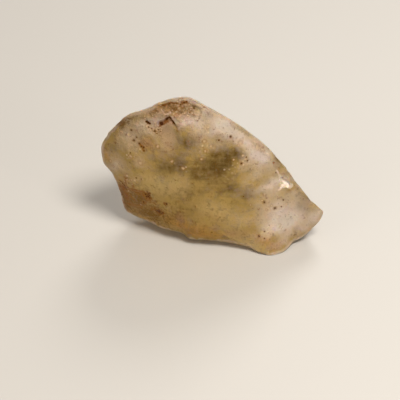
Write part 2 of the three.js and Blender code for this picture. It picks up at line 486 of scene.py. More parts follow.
# %% [markdown]
# ## Untangle the rim
#
# The rim is thin, and where carving met it, some triangles of its two sides now cross. In glass
# that shows as dark creases. Blender can list the triangles that cross. We move their points, and
# the ones beside them, to the mean of their neighbours, round after round, until none cross. A
# remesh would do the same at once, but it would blunt every other edge too.

# %% Untangle the rim
ROUNDS = 30  # at most
BESIDE = 2   # how many neighbours away a point still counts as beside a tangled one
GRIP = 4     # the larger, the more freely the points beside move


def tangled_points():
    """The points of all the triangles that cross another."""
    tree = BVHTree.FromPolygons(points.tolist(), triangles.tolist())
    crossing = {first for first, _ in tree.overlap(tree)}
    return np.unique(triangles[sorted(crossing)])


tangled = tangled_points()
print("Tangled points:", len(tangled))
for _ in range(ROUNDS):
    if len(tangled) == 0:
        break
    loose = np.zeros((len(points), 1))
    loose[tangled] = 1
    loose = np.clip(GRIP * softened(loose, BESIDE), 0, 1)
    points += loose * (softened(points, BESIDE) - points)
    tangled = tangled_points()
normals = point_normals(points, triangles)
print("Still tangled:", len(tangled))

# %% [markdown]
# ## Paint on the points
#
# The colours are laid as masks from 0 to 1 on the points, and the material mixes by them. An
# image could be painted and wrapped round the stone, but it would need a map without seams, and
# it would be as coarse as its pixels. Values on the points need neither, and the material adds
# the finest grain by noise. Soft ovals and strokes with wandering outlines stand for the milky
# skin, for the dark clouds inside and for the rust that ground water has left. The back has no
# marks of its own to follow, so blotches of noise fill the same masks there.

# %% Brushes
OUTLINE_STRAY = (0.45, 2.2)  # mm: how far an oval's outline strays, and over what wavelength
OVAL_FALL = 0.7              # how steeply an oval fades outwards
STROKE_FADE = (0.3, 1.8)     # half widths from a stroke's line: all colour, and none
FACING_FADE = (-0.1, 0.2)    # how squarely a point faces front: part of the back, and of the front
stray, wavelength = OUTLINE_STRAY
oval_shift = [drift(points, wavelength, place, 3.0) for place in (31.0, 35.0, 39.0)]
oval_shift = stray * np.stack(oval_shift, axis=1)
facing = ease(normals @ FACING, *FACING_FADE)
back = 1 - facing


def patches(ovals):
    """The sum of soft ovals seen from the front: most in their middles, 0 well past their outlines."""
    total = np.zeros(len(points))
    for across, up, wide, high, strength, *tilt in ovals:
        far = oval(points + oval_shift, across, up, wide, high, *tilt)
        total += strength * np.exp(-OVAL_FALL * far * far)
    return facing * total


def strokes(lines):
    """The strongest of soft strokes: bent lines with a half width and a strength."""
    total = np.zeros(len(points))
    for line, wide, strength in lines:
        far, _ = far_from_line(points, line)
        total = np.maximum(total, strength * (1 - ease(far / wide, *STROKE_FADE)))
    return facing * total


def blotches(strength, wavelength, place, low, high, octaves=2.0):
    """Marks of noise for the back: none where the noise is under low, all where it is over high."""
    return back * strength * ease(drift(points, wavelength, place, octaves), low, high)


def share_over(mask, level):
    """The share of all the points where a mask is over this level."""
    return round(float((mask > level).mean()), 3)


broad = drift(points, 3.5, 71.0, 3.0)
fine = drift(points, 1.0, 77.0, 3.0)
print("Broad noise from", broad.min().round(2), "to", broad.max().round(2))

# %% [markdown]
# ## The milky skin
#
# Blown sand has made the glass matt and milky, most of all on the shoulders that stood in the
# wind. Noise alone would put the milk anywhere, so each patch is an oval: across and up in mm,
# half width, half height, strength and, where it has one, its tilt in degrees. Where a strength is
# below zero, the skin is clearer. All the ovals are summed, so broad weak ones can shade the
# strong ones.

# %% Milky skin
FROST = [
    (2.4, 23.9, 2.4, 1.3, 1.0, -28), (0.4, 24.7, 1.5, 0.8, 0.35, -20), (-2.3, 24.6, 1.5, 1.3, 0.55),
    (-3.6, 25.5, 1.4, 1.0, 0.6), (-5.0, 25.0, 0.9, 0.8, 0.35), (5.0, 21.3, 1.9, 0.9, 0.7, -35),
    (4.6, 20.6, 0.9, 0.6, 0.5), (8.2, 17.6, 2.2, 1.4, 1.25, -30), (6.2, 19.2, 1.4, 1.0, 0.25, -30),
    (0.4, 23.3, 1.7, 0.7, 0.4), (9.4, 12.2, 1.5, 0.9, 0.8, 15), (12.0, 12.2, 1.2, 1.0, 0.5),
    (8.2, 11.9, 1.0, 0.7, 0.3), (12.3, 5.0, 2.8, 2.0, 0.95, 10), (10.0, 5.2, 1.4, 1.5, 0.5),
    (13.9, 7.6, 1.5, 1.4, 0.3, -20), (15.4, 5.1, 1.7, 1.3, 0.5, -10), (17.6, 5.0, 0.9, 1.1, 0.75),
    (18.5, 5.9, 0.7, 0.7, 0.4), (13.3, 3.0, 1.7, 1.0, 0.4, 10), (8.8, 8.9, 2.1, 1.5, 0.42),
    (11.7, 8.4, 1.7, 1.5, 0.6), (8.2, 15.0, 1.7, 1.2, 0.25), (16.3, 3.0, 0.9, 0.9, 0.5, 40),
    (-14.8, 20.4, 1.4, 1.2, 0.35), (-14.0, 18.8, 1.5, 1.3, 0.3), (-16.1, 14.1, 1.4, 1.5, 0.35),
    (-17.3, 12.6, 0.9, 1.6, 0.35, -30), (-11.2, 22.2, 0.9, 0.9, 0.4), (-12.6, 22.6, 1.0, 1.1, 0.12),
    (-13.2, 25.1, 1.7, 0.5, 0.35, 12), (-10.0, 22.2, 0.7, 0.6, 0.2), (-12.5, 15.6, 0.7, 0.8, 0.3),
    (-13.5, 12.0, 1.0, 0.7, 0.2), (11.0, 13.3, 1.2, 1.1, 0.4), (7.0, 14.4, 1.5, 0.7, 0.2),
    (-7.0, 20.3, 5.8, 2.7, 0.14), (-1.1, 20.8, 2.1, 1.4, 0.3), (4.1, 19.6, 0.9, 0.8, -0.15),
    (10.9, 16.4, 1.7, 0.7, -0.25, -50), (4.4, 23.1, 1.7, 0.5, -0.4, -38),
    (16.6, 7.8, 1.4, 0.5, -0.1, -40), (-4.6, 28.0, 1.2, 0.7, 0.35), (14.2, 3.5, 0.7, 0.8, -0.4),
    (8.6, 11.6, 0.7, 0.5, -0.5), (15.2, 7.6, 0.9, 1.1, -0.1), (-13.4, 22.2, 1.4, 1.1, 0.25),
    (13.2, 10.5, 0.9, 0.5, 0.15, -10), (12.7, 11.1, 0.7, 0.4, -0.3), (-17.0, 11.8, 0.7, 1.4, 0.3),
    (4.8, 17.3, 1.0, 1.1, 0.35), (-1.3, 27.2, 1.5, 0.7, 0.4, -35), (-3.9, 28.7, 1.5, 0.5, 0.25, -20),
    (-10.7, 16.9, 1.4, 1.4, 0.1), (6.2, 12.9, 2.4, 2.2, 0.12), (15.3, 8.8, 2.1, 1.3, 0.1, -35),
    (1.4, 18.4, 2.8, 1.8, -0.25), (-10.2, 23.6, 1.4, 0.9, 0.85), (-6.1, 25.0, 1.0, 0.8, 0.65),
    (-10.8, 6.9, 5.8, 5.2, -0.08), (-5.0, 28.7, 1.2, 0.5, 0.6), (-6.8, 28.7, 1.4, 0.4, 0.4, -8),
    (-11.5, 25.1, 1.4, 0.8, 0.15), (-4.8, 11.3, 2.1, 1.3, -0.15), (-8.1, 25.3, 1.4, 0.6, 0.3, -20),
    (18.0, 3.8, 1.0, 1.0, 0.15), (16.6, 7.2, 1.0, 0.8, 0.1), (12.0, 1.1, 1.5, 0.7, 0.15),
    (-16.2, 17.7, 2.6, 3.4, 0.15), (6.3, 2.5, 1.4, 0.7, 0.15), (12.0, 1.7, 1.5, 0.7, 0.3),
    (6.2, 6.2, 1.4, 1.2, 0.1), (-2.3, 22.3, 1.7, 1.4, 0.25), (-7.7, 22.2, 1.4, 1.6, 0.3),
    (-4.6, 23.9, 0.9, 1.5, -0.1), (-15.6, 22.9, 1.2, 0.9, -0.1, 40), (12.3, 14.0, 1.2, 0.5, 0.1, -50),
    (17.8, 6.6, 0.9, 0.5, 0.1, -40), (16.2, 7.9, 1.4, 0.6, 0.18, -40), (-14.9, 23.6, 1.4, 0.9, 0.1, 20),
    (4.5, 21.2, 1.4, 0.8, 0.15, -30), (11.3, 15.7, 1.0, 0.8, 0.25, -50), (14.1, 10.5, 1.0, 0.6, 0.2, -50),
    (8.2, 13.9, 2.4, 0.5, 0.1, -10), (4.5, 10.6, 1.4, 0.8, 0.1), (-9.9, 18.1, 1.5, 1.3, 0.08),
    (-5.1, 21.7, 1.0, 1.4, -0.12), (1.9, 21.9, 1.0, 0.8, 0.1), (-14.7, 23.9, 0.9, 0.9, 0.25),
    (-8.7, 24.5, 0.7, 0.7, 0.25), (-7.0, 27.7, 1.5, 0.8, 0.2), (-9.0, 24.7, 1.0, 0.6, 0.2),
    (3.5, 23.5, 3.8, 0.8, 0.25, -30), (10.5, 8.8, 6.5, 5.6, 0.08), (11.6, 15.4, 1.5, 0.8, -0.25, -50),
    (9.4, 2.2, 1.5, 0.7, -0.2), (6.1, 9.2, 1.0, 1.1, -0.15), (14.8, 5.3, 0.9, 1.7, -0.15),
]
MILKY_BACK = 0.34      # the back's mean strength
BROAD_ON_BACK = 0.45   # how strongly the broad noise changes it there, and everywhere
BROAD = 0.15
FINE = 0.06
frost = patches(FROST) + back * (MILKY_BACK + BROAD_ON_BACK * broad) + BROAD * broad + FINE * fine
print("Milky share:", share_over(frost, 0.5))

# %% [markdown]
# ## Dark clouds and painted shade inside
#
# The dark olive clouds are partly bubbles and dark melt deep in the glass, and partly painted
# shade: the dark that clear glass shows where little light comes through it from behind. A volume
# with noise in it would be the true way, but it renders slowly and few other programs can read it.
# They have no sharp edge to give them away, so they can be painted under the milky skin in the
# same way.

# %% Dark clouds and painted shade inside
# Each oval is partly dark melt and partly painted shade.
CLOUDS_AND_SHADE = [
    (0.1, 16.8, 1.7, 1.3, 0.65), (1.6, 19.0, 2.2, 1.1, 0.42, 5), (-0.4, 19.3, 1.0, 1.1, 0.2),
    (-0.9, 25.6, 1.2, 1.1, 0.4, -30), (-0.3, 23.7, 1.2, 1.0, 0.35), (4.2, 19.5, 0.9, 0.8, 0.58, 30),
    (2.8, 17.6, 1.4, 0.9, 0.3), (3.3, 18.4, 1.5, 0.5, 0.2, 5), (2.5, 12.7, 1.2, 0.8, 0.6, 10),
    (0.9, 14.5, 1.9, 1.2, 0.45, -10), (2.4, 16.6, 1.4, 1.1, 0.35), (4.0, 13.8, 0.9, 0.6, 0.4),
    (4.0, 10.2, 1.5, 1.2, 0.2), (-2.3, 16.6, 1.7, 1.2, 0.5), (-2.6, 14.9, 1.5, 1.0, 0.4),
    (-8.5, 16.2, 1.4, 1.1, 0.75), (-6.3, 17.0, 1.5, 1.2, 0.65), (-6.3, 18.2, 2.2, 1.3, 0.4),
    (-5.6, 21.1, 1.2, 1.6, 0.12, -10), (1.9, 15.1, 2.4, 1.7, 0.25), (-5.6, 21.9, 1.2, 0.8, 0.4),
    (-4.0, 21.2, 1.9, 1.0, 0.25), (-3.5, 19.0, 2.1, 1.2, 0.25), (-9.7, 17.8, 1.0, 1.0, 0.35),
    (-4.3, 11.8, 1.7, 1.1, 0.2), (5.5, 11.3, 0.7, 0.8, 0.25), (-6.2, 7.9, 1.2, 1.7, 0.3),
    (4.4, 23.1, 1.0, 0.5, 0.2, -30), (-16.7, 16.9, 1.2, 0.9, 0.25, 20), (-1.4, 7.4, 1.7, 0.7, 0.2, -10),
    (10.8, 16.2, 0.9, 1.0, 0.45, -50), (16.4, 8.1, 0.9, 0.4, 0.4, -35), (15.9, 6.3, 1.0, 0.6, 0.2),
    (-1.4, 26.4, 1.0, 0.4, 0.2, -30), (14.4, 9.7, 0.9, 0.6, 0.2, -50), (6.0, 11.8, 2.1, 1.1, 0.35),
    (15.9, 7.0, 1.4, 1.1, 0.35), (5.5, 9.5, 1.7, 1.5, 0.15), (7.1, 6.1, 1.7, 1.2, 0.15),
    (-3.3, 21.6, 1.5, 1.0, 0.4), (0.6, 20.4, 1.5, 0.6, 0.42), (-7.0, 20.7, 0.9, 0.8, 0.3),
    (1.4, 18.8, 2.1, 1.3, 0.28), (-7.0, 20.3, 5.8, 2.7, 0.08), (13.6, 9.9, 1.4, 1.0, 0.25, -50),
    (-8.8, 21.2, 0.9, 0.7, 0.25), (5.9, 8.0, 1.7, 1.1, 0.1), (-5.4, 6.2, 1.4, 1.4, 0.35),
    (-8.3, 5.0, 1.7, 1.2, 0.25, -15), (5.7, 12.0, 1.2, 0.8, 0.25), (8.4, 11.5, 1.0, 0.5, 0.3),
    (-4.5, 23.8, 0.7, 1.0, 0.1), (1.4, 22.7, 2.1, 0.9, 0.2, -20), (14.4, 3.4, 0.7, 0.8, 0.3),
    (15.0, 7.0, 0.9, 1.4, 0.45), (6.9, 15.5, 1.7, 0.9, 0.25), (8.2, 11.7, 1.0, 0.7, 0.2),
    (-11.2, 17.4, 1.4, 1.2, 0.12), (0.6, 21.2, 2.4, 0.8, 0.14), (-7.7, 20.8, 1.0, 0.7, 0.12),
    (3.8, 12.2, 1.5, 1.6, 0.12),
]
CLOUD_BLOTCHES = (0.6, 4.5, 67.0, 0.0, 0.8)  # strength, wavelength in mm, place, low, high
CLOUD_GRAIN = 0.08
cloud = patches(CLOUDS_AND_SHADE) + blotches(*CLOUD_BLOTCHES) + CLOUD_GRAIN * fine
print("Cloudy share:", share_over(cloud, 0.5))

# %% [markdown]
# ## Tints and painted glow in the glass
#
# The yellow of the glass isn't the same all over. It is brown where iron has soaked in low on the
# left and behind the crown, and pink where the skin is freshly chipped. Along the lower edge the
# ochre is partly the glass's own tint and partly painted glow, where light comes through the thin
# edge, and the straw yellow of the belly is painted glow, where light comes through the glass.
# Four lists in the same form do it, so that each can be strengthened alone.

# %% Brown and pink tints, ochre and painted glow
BROWN_PATCHES = [
    (-13.4, 6.8, 2.4, 2.4, 0.8, -10), (-15.4, 7.0, 1.0, 2.4, 0.8), (-10.9, 6.1, 1.7, 1.6, 0.35, -15),
    (-11.7, 8.7, 1.5, 1.1, 0.5), (-13.5, 3.6, 1.7, 1.3, 0.4, -18), (-7.8, 5.7, 2.4, 1.9, 0.5, -15),
    (-6.0, 4.7, 1.7, 1.1, 0.25), (-10.9, 4.2, 1.4, 1.2, 0.4, -15), (-8.8, 3.2, 2.6, 1.0, 0.4, -20),
    (-15.8, 22.9, 1.5, 0.7, 0.45, 42), (11.1, 16.4, 1.5, 0.5, 0.35, -50),
    (-15.6, 22.0, 1.0, 0.9, 0.5, 35), (-14.4, 23.7, 1.5, 0.7, 0.25, 25), (-16.7, 20.4, 0.7, 1.0, 0.4, 40),
    (-8.5, 26.5, 1.7, 0.7, 0.3, 12), (-5.0, 26.5, 1.5, 0.6, 0.45), (-7.0, 26.8, 1.5, 0.7, 0.2, 5),
    (-10.0, 25.3, 1.5, 0.9, 0.2), (-7.3, 27.5, 1.9, 0.6, 0.35, -5), (-3.4, 27.7, 1.0, 0.4, 0.5, -35),
    (-11.4, 19.2, 1.4, 1.1, 0.3), (-10.2, 19.1, 1.0, 0.9, 0.25), (-0.4, 15.5, 2.1, 0.8, 0.3),
    (-5.3, 24.1, 0.9, 0.5, 0.35), (1.5, 7.0, 1.4, 0.8, 0.15), (14.0, 2.3, 0.7, 0.4, 0.5, 10),
    (-17.3, 16.6, 1.0, 0.7, 0.15, 20), (-2.3, 16.2, 1.7, 0.8, 0.2), (5.0, 22.8, 1.9, 0.3, 0.4, -35),
    (8.2, 19.8, 1.4, 0.2, 0.3, -40), (11.3, 16.2, 1.5, 0.5, 0.4, -50), (15.1, 9.9, 1.7, 0.6, 0.4, -50),
    (16.9, 7.6, 1.4, 0.5, 0.5, -40), (12.5, 13.7, 1.2, 0.5, 0.3, -50), (4.3, 22.9, 1.5, 0.4, 0.3, -38),
    (-15.6, 23.1, 1.2, 0.5, 0.3, 42), (-3.9, 28.5, 1.0, 0.7, 0.25),
]
PINK_PATCHES = [
    (-11.4, 19.7, 1.4, 1.1, 0.8), (-14.8, 11.2, 0.4, 1.4, 0.6), (-9.7, 23.5, 0.7, 0.6, 0.5),
    (-5.5, 25.3, 1.0, 0.5, 0.9), (-7.7, 24.2, 1.0, 0.4, 0.9), (-5.7, 5.4, 0.9, 1.1, 0.6),
    (-4.9, 3.4, 1.4, 0.8, 0.4, -10), (3.2, 3.6, 1.7, 1.0, 0.6), (0.4, 6.7, 1.4, 1.0, 0.35),
    (4.2, 12.0, 0.9, 0.8, 0.3), (8.2, 19.4, 1.0, 0.5, 0.5, -40), (10.3, 17.0, 0.7, 0.7, 0.35, -50),
    (-8.2, 18.5, 1.0, 0.8, 0.25), (-17.3, 13.1, 0.7, 0.7, 0.35, -40), (8.0, 2.9, 1.4, 0.7, 0.4, -10),
    (10.6, 1.3, 1.7, 0.6, 0.5, 10), (14.8, 6.5, 1.4, 1.2, 0.25), (12.5, 13.7, 1.2, 0.5, 0.3, -50),
    (16.2, 7.7, 1.4, 0.6, 0.4, -40), (9.4, 2.5, 1.7, 0.8, 0.3), (7.3, 4.3, 1.4, 0.9, 0.2),
    (11.1, 15.9, 0.9, 0.8, 0.3), (-15.6, 23.1, 1.4, 0.7, 0.3, 42), (-10.7, 25.7, 1.2, 0.7, 0.35),
    (-7.3, 26.6, 4.1, 1.1, 0.75, 8), (-10.4, 22.9, 1.0, 0.7, 0.2), (-5.6, 24.8, 1.0, 1.0, 0.75),
    (-4.3, 25.6, 1.4, 0.8, 0.25), (-10.8, 7.4, 5.8, 4.5, 0.22, 10), (-9.7, 23.3, 0.9, 0.7, 0.6),
    (12.0, 0.9, 1.5, 0.6, 0.4), (5.4, 4.7, 1.5, 0.8, 0.3),
]
# Partly ochre tint, partly painted glow along the thin lower edge.
OCHRE_AND_GLOW_PATCHES = [
    (-18.2, 15.3, 0.7, 1.3, 0.9), (-16.2, 10.5, 0.5, 1.5, 0.6, -20), (-12.6, 3.4, 2.1, 1.4, 0.6, -12),
    (-1.4, 4.9, 2.2, 0.8, 0.4), (9.7, 1.6, 1.9, 0.7, 0.4), (6.3, 4.4, 1.9, 1.4, 0.25),
    (-7.1, 4.3, 1.7, 1.2, 0.6), (-4.3, 3.7, 1.9, 1.1, 0.8, -20), (-10.0, 7.2, 5.8, 4.5, 0.2, 10),
    (2.9, 3.0, 2.8, 1.5, 0.3), (-1.4, 2.9, 1.9, 1.1, 0.7), (2.5, 2.7, 1.9, 1.0, 0.6, -10),
    (5.3, 2.3, 1.5, 0.9, 0.5, -15), (-9.5, 23.0, 0.9, 0.5, 0.6), (-9.8, 24.2, 1.4, 0.7, 0.3),
    (-7.0, 25.2, 1.0, 0.5, 0.35), (-7.6, 27.6, 2.1, 0.6, 0.6, -8), (-6.3, 26.7, 2.4, 0.8, 0.35),
    (-7.1, 27.7, 1.5, 0.4, 0.9, -5), (-14.8, 8.3, 1.5, 2.5, 0.4), (-9.7, 5.3, 2.8, 2.1, 0.25),
    (-5.3, 9.1, 1.5, 1.8, 0.2),
]
# Painted glow: light coming through the belly, laid as straw yellow.
GLOW_PATCHES = [
    (-7.7, 12.3, 2.9, 1.8, 0.8), (-5.3, 13.6, 1.4, 1.8, 0.5), (0.1, 7.9, 2.8, 1.9, 0.6),
    (3.7, 4.6, 2.1, 2.1, 0.6), (-1.3, 9.5, 1.7, 1.8, 0.3), (-16.8, 11.9, 1.2, 1.9, 0.6, -30),
    (-11.3, 12.9, 2.1, 1.3, 0.4), (4.9, 2.4, 2.8, 1.4, 0.75), (7.3, 7.8, 2.4, 2.3, 0.35),
    (8.3, 1.6, 1.4, 0.7, 0.4), (-11.5, 10.1, 2.2, 1.4, 0.45), (-3.1, 5.1, 2.1, 1.1, 0.3),
    (8.3, 1.2, 1.4, 1.0, 0.3), (2.0, 8.9, 1.5, 1.4, 0.35), (11.4, 6.4, 3.1, 2.8, 0.25),
]
TINTS = {  # patches, and blotches: strength, wavelength in mm, place, low, high, octaves
    "brown": (BROWN_PATCHES, (0.3, 4.0, 95.0, 0.2, 0.7)),
    "pink": (PINK_PATCHES, (0.5, 3.0, 87.0, 0.2, 0.7)),
    "ochre": (OCHRE_AND_GLOW_PATCHES, (0.5, 5.0, 83.0, 0.1, 0.6, 1.0)),
    "straw": (GLOW_PATCHES, (0.5, 5.0, 99.0, -0.2, 0.6)),
}
tints = {name: patches(ovals) + blotches(*spread) for name, (ovals, spread) in TINTS.items()}
for name, tint in tints.items():
    print("Share of", name + ":", share_over(tint, 0.4))

# %% [markdown]
# ## Rust and painted shade, bruises and painted highlights, and the glint
#
# Ground water has left rust in the cracks: the slot beside the lip, and red grains low on the left.
# The crescent under the lip is partly rust and partly painted shade under the overhang. Near them,
# the pale strokes are partly bruises from knocks and partly painted highlights on the ridges round
# the lip, and the glint on the fresh facet is a painted highlight too. Ovals would look blurred
# here. These are strokes: a bent line of (across, up), a half width in mm, and a strength. A
# strength above 1 makes the middle of a stroke nearly black.

# %% Rust and painted lip shade
RUST_AND_LIP_SHADE = [
    # The first eight strokes draw the crescent under the lip: partly rust, partly painted shade of the
    # overhang.
    ([(-9.0, 23.6), (-8.6, 23.9)], 0.19, 1.3),
    ([(-8.6, 23.9), (-8.0, 24.5)], 0.17, 0.75),
    ([(-8.0, 24.6), (-7.7, 25.0)], 0.19, 1.35),
    ([(-7.4, 25.1), (-7.3, 25.5)], 0.17, 1.4),
    ([(-7.1, 25.2), (-6.8, 24.8), (-6.5, 24.1)], 0.17, 0.55),
    ([(-6.8, 24.6), (-6.6, 24.3)], 0.23, 1.4),
    ([(-6.4, 24.0), (-6.1, 23.3)], 0.17, 0.4),
    ([(-8.4, 24.0), (-7.8, 24.4), (-7.3, 24.8), (-7.0, 24.7)], 0.19, 0.55),
    ([(-8.5, 27.3), (-7.3, 27.7), (-6.1, 28.0)], 0.19, 0.7),
    ([(-5.5, 28.1), (-5.1, 28.3), (-4.6, 28.1)], 0.24, 0.6),
    ([(-16.4, 8.2), (-15.5, 8.8), (-15.0, 7.9), (-14.9, 6.4)], 0.52, 0.62),
    ([(-13.7, 9.8), (-12.9, 8.8), (-11.5, 8.8), (-10.5, 7.5)], 0.55, 0.36),
    ([(-14.7, 5.3), (-12.9, 5.7), (-10.9, 6.1), (-9.1, 6.0)], 0.52, 0.34),
    ([(-15.8, 5.2), (-14.4, 3.0)], 0.43, 0.3),
    ([(-15.1, 11.5), (-15.0, 9.6)], 0.29, 0.45),
    ([(-11.7, 9.1), (-11.0, 8.5)], 0.40, 0.85),
    ([(-14.6, 9.0), (-13.2, 9.3), (-12.0, 9.5)], 0.26, 0.65),
    ([(-16.0, 10.1), (-15.3, 9.9)], 0.24, 0.55),
    ([(-14.3, 7.4), (-13.6, 6.9)], 0.26, 0.5),
    ([(-15.5, 9.7), (-15.0, 9.3), (-15.1, 8.4)], 0.21, 1.0),
    ([(-16.1, 7.4), (-15.6, 6.8)], 0.21, 0.9),
    ([(-15.0, 7.1), (-14.9, 6.1)], 0.21, 0.85),
    ([(-11.8, 9.2), (-10.8, 8.6)], 0.21, 1.05),
    ([(-10.9, 9.6), (-11.5, 8.2)], 0.17, 1.0),
    ([(-9.7, 5.8), (-9.3, 5.9), (-9.0, 5.6)], 0.33, 1.6),
    ([(-12.1, 6.9), (-11.7, 7.1)], 0.29, 0.75),
    ([(-8.3, 8.2), (-8.2, 8.3)], 0.24, 0.8),
    ([(-6.0, 9.8), (-6.0, 9.4)], 0.17, 0.5),
    ([(-11.3, 23.6), (-10.9, 23.4)], 0.21, 1.8),
    ([(-12.4, 19.3), (-11.9, 18.8), (-11.8, 18.3)], 0.20, 0.85),
    ([(-9.3, 23.1), (-8.9, 23.5)], 0.15, 0.6),
]
RUST_BLOTCHES = (0.55, 3.4, 91.0, 0.5, 1.0, 4.0)
rust = strokes(RUST_AND_LIP_SHADE) + blotches(*RUST_BLOTCHES)
print("Rusty share:", share_over(rust, 0.4))

# %% Bruises and painted highlights, and the painted glint
# Partly bruises from knocks, partly painted highlights on the ridges round the lip.
BRUISES_AND_HIGHLIGHTS = [
    ([(-8.8, 26.4), (-8.4, 26.0)], 0.12, 0.7),
    ([(-8.3, 25.9), (-8.0, 25.8), (-7.5, 26.0)], 0.13, 1.0),
    ([(-7.5, 26.1), (-7.1, 26.2)], 0.11, 0.65),
    ([(-7.1, 25.7), (-6.9, 25.4), (-6.6, 25.0)], 0.13, 1.0),
    ([(-6.0, 25.0), (-5.6, 24.4)], 0.52, 0.5),
    ([(-10.7, 23.1), (-10.3, 23.1)], 0.14, 0.95),
    ([(-10.5, 23.7), (-10.4, 23.6)], 0.12, 0.7),
    ([(4.5, 20.8), (4.8, 20.7)], 0.15, 0.9),
    ([(6.8, 20.6), (7.5, 20.3)], 0.15, 0.5),
    ([(-6.2, 25.5), (-5.6, 24.9), (-6.0, 23.9)], 0.52, 0.45),
    ([(-6.1, 25.4), (-5.8, 25.2), (-5.5, 25.1)], 0.21, 0.6),
    ([(-10.5, 23.7), (-10.3, 23.5), (-10.0, 23.2)], 0.21, 0.5),
    ([(4.1, 21.3), (5.0, 20.9)], 0.28, 0.6),
    ([(-5.6, 28.7), (-5.4, 28.8)], 0.15, 0.9),
    ([(-5.1, 28.8), (-4.8, 28.7)], 0.15, 0.9),
]
# Painted highlight: the glint on the fresh facet, in warm white; the arm above it is painted only.
GLINT = [
    ([(10.8, 14.7), (11.1, 14.0), (11.5, 13.0)], 0.14, 1.0),
    ([(11.5, 13.0), (12.0, 12.0), (13.1, 11.5)], 0.40, 1.0),
    ([(12.0, 12.0), (11.6, 11.6), (11.2, 11.4)], 0.21, 1.0),
]
bruise = strokes(BRUISES_AND_HIGHLIGHTS)
glint = strokes(GLINT)
print(len(BRUISES_AND_HIGHLIGHTS), "bruises, and a glint of", int((glint > 0.4).sum()), "points")

# %% [markdown]
# ## Relief, grit and the rim
#
# The pits are darkened, partly by dust and partly as painted shade, and every ridge is laid pale,
# partly rubbed wear and partly a painted highlight. The relief tells the two apart: it is how far a
# point stands out from its softened neighbourhood. Grit patches say where rough beads of sand are
# baked on, and smooth patches where the glass shines. The rim is a pale band, partly wear and partly
# a painted edge highlight: the band of domed skin within half a millimetre of the back, which we
# find by a search tree of all the points that look backwards, the skin that turns away towards the
# back, and the underside of the lower edge. Where the real rim is dirty or broken, gaps are taken
# out of the band. Blender's Bevel node could find edges too, but only in Cycles.

# %% Relief
SOFTENINGS = 5  # rounds of averaging with the neighbours
relief = ((points - softened(points, SOFTENINGS)) * normals).sum(axis=1)
relief = (relief - np.median(relief)) / relief.std()
print("Relief from", relief.min().round(1), "to", relief.max().round(1), "times its usual size")

# %% Grit and smooth places
GRIT_PATCHES = [
    (-5.0, 27.0, 1.5, 1.2, 0.85, 8), (-10.2, 25.4, 1.5, 1.1, 0.5), (-9.7, 22.8, 1.0, 0.9, 1.0),
    (-1.4, 21.4, 1.0, 1.9, 0.6), (5.0, 18.0, 1.0, 1.4, 0.7), (-12.4, 18.9, 1.4, 1.3, 0.6),
    (-14.2, 16.6, 0.7, 0.8, 0.7), (-7.2, 17.6, 0.9, 0.8, 0.4), (-4.8, 16.9, 0.9, 0.8, 0.5),
    (-13.9, 11.6, 1.4, 0.9, 0.6), (2.4, 16.6, 1.5, 0.9, 0.4), (9.3, 9.0, 1.5, 1.4, 0.12),
    (7.5, 19.7, 1.2, 0.6, 0.5, -35), (-15.2, 8.3, 1.2, 2.0, 0.3), (0.2, 24.1, 1.7, 1.0, 0.3),
    (-9.1, 5.8, 1.4, 1.3, 0.2),
]
SMOOTH_PATCHES = [(-7.7, 21.6, 1.5, 2.2, 0.6, 6), (12.0, 12.1, 1.2, 1.2, 1.8)]
HAZE_PATCHES = [(-7.75, 21.9, 1.35, 2.3, 1.0, 6)]
GRIT_ON_BACK = 0.4
GRIT_NOISE = (0.1, 0.6)  # the broad noise at no grit on the back, and at all of it
GRIT_EVERYWHERE = 0.1
grit = patches(GRIT_PATCHES) + back * GRIT_ON_BACK * ease(broad, *GRIT_NOISE) + GRIT_EVERYWHERE
smooth = patches(SMOOTH_PATCHES)
haze = patches(HAZE_PATCHES)
print("Gritty share:", share_over(grit, 0.4))

# %% The rim: wear and painted edge highlight
RIM_GAPS = [
    (10.4, 16.8, 2.1, 0.8, 0.95, -50), (4.4, 22.7, 2.4, 0.7, 0.95, -38), (12.3, 14.0, 1.5, 0.7, 0.8, -50),
    (17.6, 6.9, 1.4, 0.7, 0.8, -40), (-15.8, 23.1, 1.4, 0.6, 0.85, 45), (-18.8, 18.0, 0.5, 0.7, 0.7),
    (-16.4, 8.2, 0.5, 1.0, 0.5, -20), (16.2, 8.2, 2.1, 0.8, 0.8, -40), (14.1, 11.1, 1.4, 0.6, 0.4, -50),
    (-8.3, 3.8, 5.2, 1.0, 0.1, -20),
]
RIM_BAND = (0.15, 0.75)     # mm from the back's first point: all rim, and none
BRINK_BAND = (1.0, 2.5)     # the same for skin that turns away towards the back
BRINK_TURN = (0.1, 0.4)     # how squarely it faces front: all brink, and none
UNDERSIDE = (0.0, 0.4)      # how squarely a point looks down: not the lower edge, and all of it
LOWER_TURN = (-0.15, 0.0)   # how squarely the lower edge faces front: none of it, and all
RUBBED_EDGE = (0.15, 0.5)   # sharpness: not rubbed, and all rubbed
# Share of the pale rim that the ochre and its painted glow hide.
OCHRE_AND_GLOW_HIDE = 0.25          # share of the pale rim that ochre hides
BEHIND = 0.05               # points that face front less squarely than this lie behind the rim
front_on = normals @ FACING
tree = search_tree(points[front_on < BEHIND])
edge_gap = np.array([tree.find(point)[2] for point in points])
# The rim mask is partly wear and partly a painted edge highlight: a pale band along the outline, the
# rubbed sharp edges, the skin that turns away towards the back, and a pale line along the underside of
# the lower edge.
underside_highlight = ease(-normals[:, 2], *UNDERSIDE) * ease(front_on, *LOWER_TURN)
rim = np.maximum(facing, underside_highlight) * (1 - ease(edge_gap, *RIM_BAND))
rim = np.maximum(rim, ease(sharp, *RUBBED_EDGE))
brink_highlight = facing * (1 - ease(front_on, *BRINK_TURN)) * (1 - ease(edge_gap, *BRINK_BAND))
rim = np.maximum(rim, brink_highlight) * (1 - OCHRE_AND_GLOW_HIDE * np.clip(tints["ochre"], 0, 1))
rim *= 1 - np.clip(patches(RIM_GAPS), 0, 1)
print("Rim share:", share_over(rim, 0.5))

